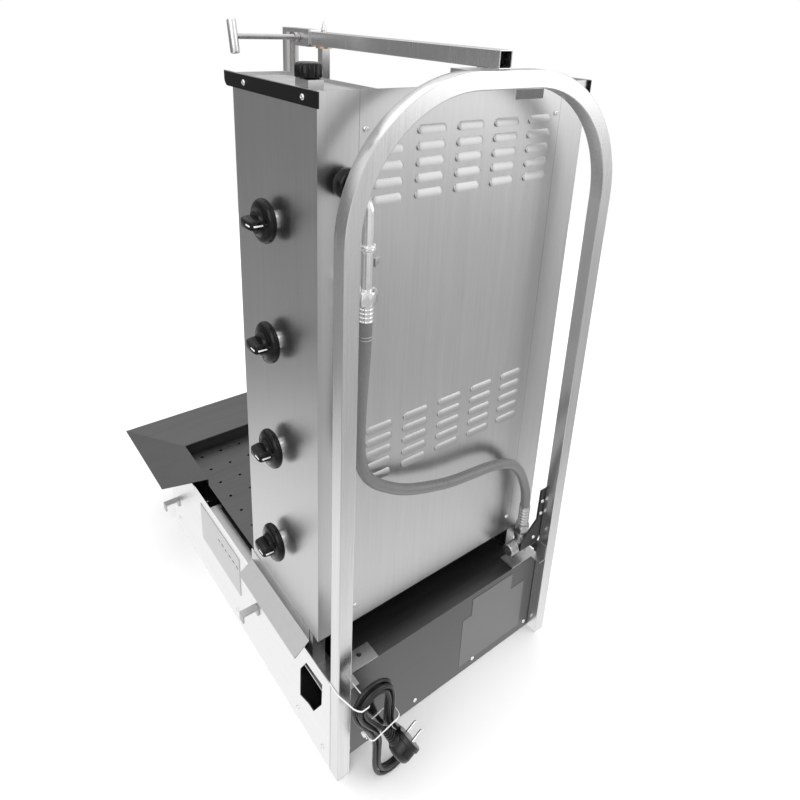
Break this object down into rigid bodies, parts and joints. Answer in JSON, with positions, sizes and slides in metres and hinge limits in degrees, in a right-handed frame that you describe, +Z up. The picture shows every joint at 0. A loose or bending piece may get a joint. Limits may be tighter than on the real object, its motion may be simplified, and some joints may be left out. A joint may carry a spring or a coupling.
{
  "type": "gas doner kebab grill",
  "caption": "Gas doner kebab grill: burner tower with side control knobs on a sheet base, bent tube frame, turning spit, drip tray and grease drawer.",
  "frame": {"origin": "bottom centre of the grill at floor level, without the free power cord", "axes": "+Z up, +Y to the rear with the tube frame and gas hose, +X to the side with the knobs"},
  "size_m": [0.536, 0.78, 0.985],
  "materials": {
    "black_plastic": "gloss",
    "black_trim": "satin",
    "brass_bush": "satin",
    "brushed_sheet": "brushed",
    "ceramic": "matte",
    "chrome_trim": "polished",
    "cord_black": "satin",
    "dull_sheet": "satin",
    "frame_steel": "polished",
    "hose_grey": "satin",
    "motor_grey": "satin",
    "tie_white": "satin",
    "zinc_steel": "satin"
  },
  "bodies": {
    "base": {"frame_tube": "frame_steel", "top_arm": "frame_steel", "spit_bearing": "brass_bush", "side_panel_right": "brushed_sheet", "side_panel_left": "brushed_sheet", "rear_panel": "dull_sheet", "front_panel": "brushed_sheet", "bottom_panel": "dull_sheet", "deck_plate": "dull_sheet", "slide_rails": "zinc_steel", "splash_wing": "brushed_sheet", "access_cover": "brushed_sheet", "side_lugs": "zinc_steel", "frame_brackets": "zinc_steel", "gas_inlet": "zinc_steel", "gas_hose": "hose_grey", "gear_motor": "motor_grey", "drip_pan": "dull_sheet", "switch_housing": "black_trim", "cord_gland": "black_trim", "power_cord": "cord_black", "cord_hank": "cord_black", "power_plug": "cord_black", "cord_ties": "tie_white", "base_screws": "chrome_trim"},
    "tower": {"control_panel": "brushed_sheet", "far_side_panel": "brushed_sheet", "rear_cover": "brushed_sheet", "tower_floor": "dull_sheet", "tower_top_plates": "dull_sheet", "cap_trims": "black_trim", "burner_housings": "dull_sheet", "burner_plaques": "ceramic", "burner_guard": "dull_sheet", "gas_manifold": "zinc_steel", "gas_taps": "brass_bush", "inlet_pipe": "chrome_trim", "tower_flanges": "brushed_sheet", "tower_shoes": "zinc_steel", "rear_knob": "black_plastic", "knob_bezels": "chrome_trim", "tower_screws": "chrome_trim"},
    "lock": {"lock_knob": "black_plastic"},
    "tray": {"perforated_tray": "dull_sheet"},
    "drawer": {"grease_drawer": "brushed_sheet"},
    "rocker": {"switch_rocker": "black_plastic"},
    "rotor": {"spit": "frame_steel", "meat_plate": "dull_sheet", "drive_socket": "zinc_steel"},
    "carriage": {"arm_carriage": "frame_steel"},
    "clamp": {"clamp_screw": "zinc_steel", "t_bar": "frame_steel"},
    "stem_1": {"spindle_1": "chrome_trim"},
    "dial_1": {"knob_1": "black_plastic"},
    "stem_2": {"spindle_2": "chrome_trim"},
    "dial_2": {"knob_2": "black_plastic"},
    "stem_3": {"spindle_3": "chrome_trim"},
    "dial_3": {"knob_3": "black_plastic"},
    "stem_4": {"spindle_4": "chrome_trim"},
    "dial_4": {"knob_4": "black_plastic"}
  },
  "joints": [
    {"name": "tower_slide", "type": "slide", "parent": "base", "child": "tower", "axis": [0, -1, 0], "range_m": [0, 0.09], "deforming": ["gas_hose"]},
    {"name": "lock_turn", "type": "hinge", "parent": "tower", "child": "lock", "pos_m": [0.196, 0.261, 0.941], "axis": [0, 0, 1], "range_deg": [0, 540]},
    {"name": "tray_lift", "type": "slide", "parent": "base", "child": "tray", "axis": [0, 0, 1], "range_m": [0, 0.02]},
    {"name": "drawer_slide", "type": "slide", "parent": "base", "child": "drawer", "axis": [0, -1, 0], "range_m": [0, 0.16]},
    {"name": "switch_rock", "type": "hinge", "parent": "base", "child": "rocker", "pos_m": [0.18, -0.261, 0.096], "axis": [1, 0, 0], "range_deg": [0, 12]},
    {"name": "spit_spin", "type": "hinge", "parent": "base", "child": "rotor", "pos_m": [0, -0.033, 0.5], "axis": [0, 0, 1], "continuous": true},
    {"name": "carriage_slide", "type": "slide", "parent": "base", "child": "carriage", "axis": [0, -1, 0], "range_m": [0, 0.02]},
    {"name": "clamp_turn", "type": "hinge", "parent": "carriage", "child": "clamp", "pos_m": [0.06, -0.089, 0.956], "axis": [1, 0, 0], "range_deg": [0, 540]},
    {"name": "knob_1_push", "type": "slide", "parent": "tower", "child": "stem_1", "axis": [-1, 0, 0], "range_m": [0, 0.003], "stiffness_N_per_m": 600, "springref_m": -0.003},
    {"name": "knob_1_turn", "type": "hinge", "parent": "stem_1", "child": "dial_1", "pos_m": [0.2155, 0.198, 0.77], "axis": [1, 0, 0], "range_deg": [0, 150]},
    {"name": "knob_2_push", "type": "slide", "parent": "tower", "child": "stem_2", "axis": [-1, 0, 0], "range_m": [0, 0.003], "stiffness_N_per_m": 600, "springref_m": -0.003},
    {"name": "knob_2_turn", "type": "hinge", "parent": "stem_2", "child": "dial_2", "pos_m": [0.2155, 0.198, 0.615], "axis": [1, 0, 0], "range_deg": [0, 150]},
    {"name": "knob_3_push", "type": "slide", "parent": "tower", "child": "stem_3", "axis": [-1, 0, 0], "range_m": [0, 0.003], "stiffness_N_per_m": 600, "springref_m": -0.003},
    {"name": "knob_3_turn", "type": "hinge", "parent": "stem_3", "child": "dial_3", "pos_m": [0.2155, 0.198, 0.46], "axis": [1, 0, 0], "range_deg": [0, 150]},
    {"name": "knob_4_push", "type": "slide", "parent": "tower", "child": "stem_4", "axis": [-1, 0, 0], "range_m": [0, 0.003], "stiffness_N_per_m": 600, "springref_m": -0.003},
    {"name": "knob_4_turn", "type": "hinge", "parent": "stem_4", "child": "dial_4", "pos_m": [0.2155, 0.198, 0.305], "axis": [1, 0, 0], "range_deg": [0, 150]}
  ]
}
